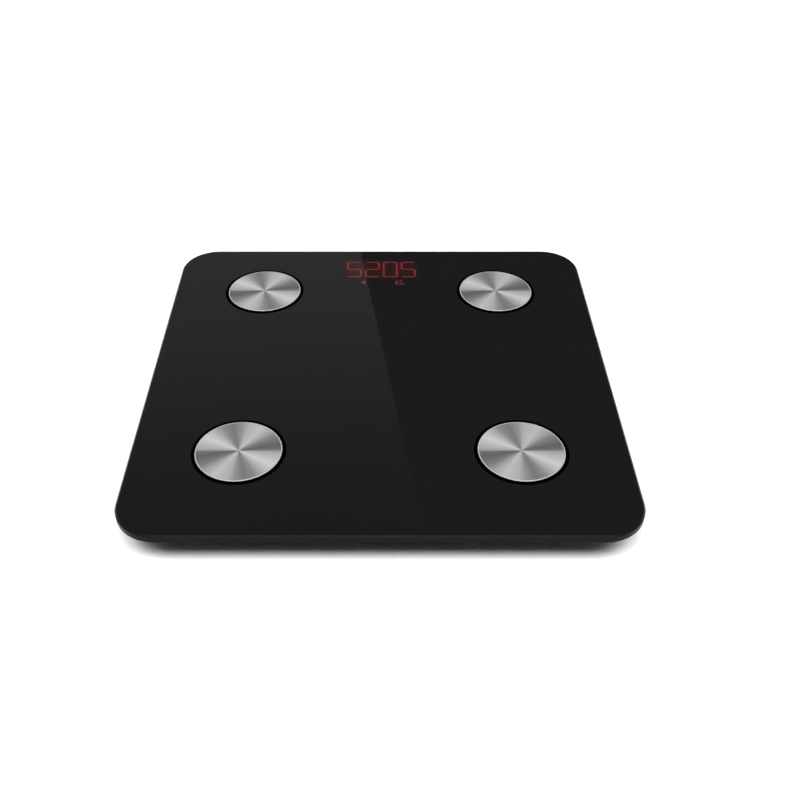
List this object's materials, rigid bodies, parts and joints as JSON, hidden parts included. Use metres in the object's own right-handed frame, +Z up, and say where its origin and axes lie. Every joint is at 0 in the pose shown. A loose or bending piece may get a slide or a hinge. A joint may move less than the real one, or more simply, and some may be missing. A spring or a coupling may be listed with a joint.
{
  "type": "digital bathroom scale",
  "caption": "Low square glass bathroom scale with round metal foot electrodes, a red number display under the glass, and load-cell feet under a shallow plastic tray.",
  "frame": {"origin": "on the floor under the middle of the square platform", "axes": "+Z up, +Y towards the display edge, +X to the right when the display is read"},
  "size_m": [0.26, 0.26, 0.0246],
  "materials": {
    "glass": "clear toughened glass, polished",
    "black_film": "black print seen through the glass",
    "smoked_film": "smoked see-through film",
    "silicone": "soft white silicone",
    "black_silicone": "black bead of sealant",
    "tinned_brass": "tinned",
    "steel_fixings": "plated",
    "foam_tape": "matt foam",
    "tray_plastic": "fine moulded texture",
    "label": "satin silver film, blank",
    "battery_jacket": "printed shrink sleeve, blank",
    "nickel_plate": "nickel plated",
    "board_laminate": "green solder mask",
    "chip_plastic": "matt epoxy",
    "socket_plastic": "natural nylon",
    "display_frame": "black",
    "lit_segment": "lit red diffuser",
    "unlit_segment": "dark diffuser",
    "lit_mark": "dimly lit red diffuser",
    "button_plastic": "satin grey",
    "wire_white": "satin insulation",
    "wire_grey": "satin insulation",
    "wire_red": "satin insulation",
    "wire_black": "satin insulation",
    "electrode_steel": "brushed in a radial sunburst",
    "load_cell_steel": "plated spring steel",
    "foot_plastic": "fine moulded texture",
    "foot_rubber": "matt"
  },
  "bodies": {
    "scale_body": {"backing_film": "black_film", "base_tray": "tray_plastic", "battery_cell_1": "battery_jacket", "battery_cell_2": "battery_jacket", "battery_cell_3": "battery_jacket", "battery_contacts": "nickel_plate", "battery_springs": "nickel_plate", "battery_wire_black": "wire_black", "battery_wire_red": "wire_red", "board_parts": "chip_plastic", "board_screws": "steel_fixings", "bonding_tape": "foam_tape", "controller_chip": "chip_plastic", "display_digits": "lit_segment", "display_filter": "smoked_film", "display_frame": "display_frame", "display_marks": "lit_mark", "display_point": "lit_mark", "display_unlit_segments": "unlit_segment", "electrode_back_left": "electrode_steel", "electrode_back_right": "electrode_steel", "electrode_bushes": "silicone", "electrode_front_left": "electrode_steel", "electrode_front_right": "electrode_steel", "electrode_nuts": "steel_fixings", "electrode_seals": "black_silicone", "electrode_terminals": "tinned_brass", "electrode_wires": "wire_white", "gauge_seals": "silicone", "glass_platform": "glass", "load_cell_back_left": "load_cell_steel", "load_cell_back_right": "load_cell_steel", "load_cell_cables": "wire_grey", "load_cell_front_left": "load_cell_steel", "load_cell_front_right": "load_cell_steel", "main_board": "board_laminate", "radio_module": "nickel_plate", "rating_label": "label", "unit_switch": "chip_plastic", "wire_sockets": "socket_plastic"},
    "battery_door": {"battery_door": "tray_plastic"},
    "unit_button": {"unit_button": "button_plastic"},
    "foot_front_left": {"foot_cap_front_left": "foot_plastic", "foot_pad_front_left": "foot_rubber"},
    "foot_front_right": {"foot_cap_front_right": "foot_plastic", "foot_pad_front_right": "foot_rubber"},
    "foot_back_left": {"foot_cap_back_left": "foot_plastic", "foot_pad_back_left": "foot_rubber"},
    "foot_back_right": {"foot_cap_back_right": "foot_plastic", "foot_pad_back_right": "foot_rubber"}
  },
  "joints": [
    {"name": "foot_press_front_left", "type": "slide", "parent": "scale_body", "child": "foot_front_left", "axis": [0, 0, 1], "range_m": [0, 0.0006], "stiffness_N_per_m": 20000, "deforming": ["load_cell_front_left"]},
    {"name": "foot_press_front_right", "type": "slide", "parent": "scale_body", "child": "foot_front_right", "axis": [0, 0, 1], "range_m": [0, 0.0006], "stiffness_N_per_m": 20000, "deforming": ["load_cell_front_right"]},
    {"name": "foot_press_back_left", "type": "slide", "parent": "scale_body", "child": "foot_back_left", "axis": [0, 0, 1], "range_m": [0, 0.0006], "stiffness_N_per_m": 20000, "deforming": ["load_cell_back_left"]},
    {"name": "foot_press_back_right", "type": "slide", "parent": "scale_body", "child": "foot_back_right", "axis": [0, 0, 1], "range_m": [0, 0.0006], "stiffness_N_per_m": 20000, "deforming": ["load_cell_back_right"]},
    {"name": "battery_door_hinge", "type": "hinge", "parent": "scale_body", "child": "battery_door", "pos_m": [0, -0.019, 0.005], "axis": [1, 0, 0], "range_deg": [-80, 0]},
    {"name": "unit_button_press", "type": "slide", "parent": "scale_body", "child": "unit_button", "axis": [0, 0, 1], "range_m": [0, 0.0008], "stiffness_N_per_m": 600}
  ]
}
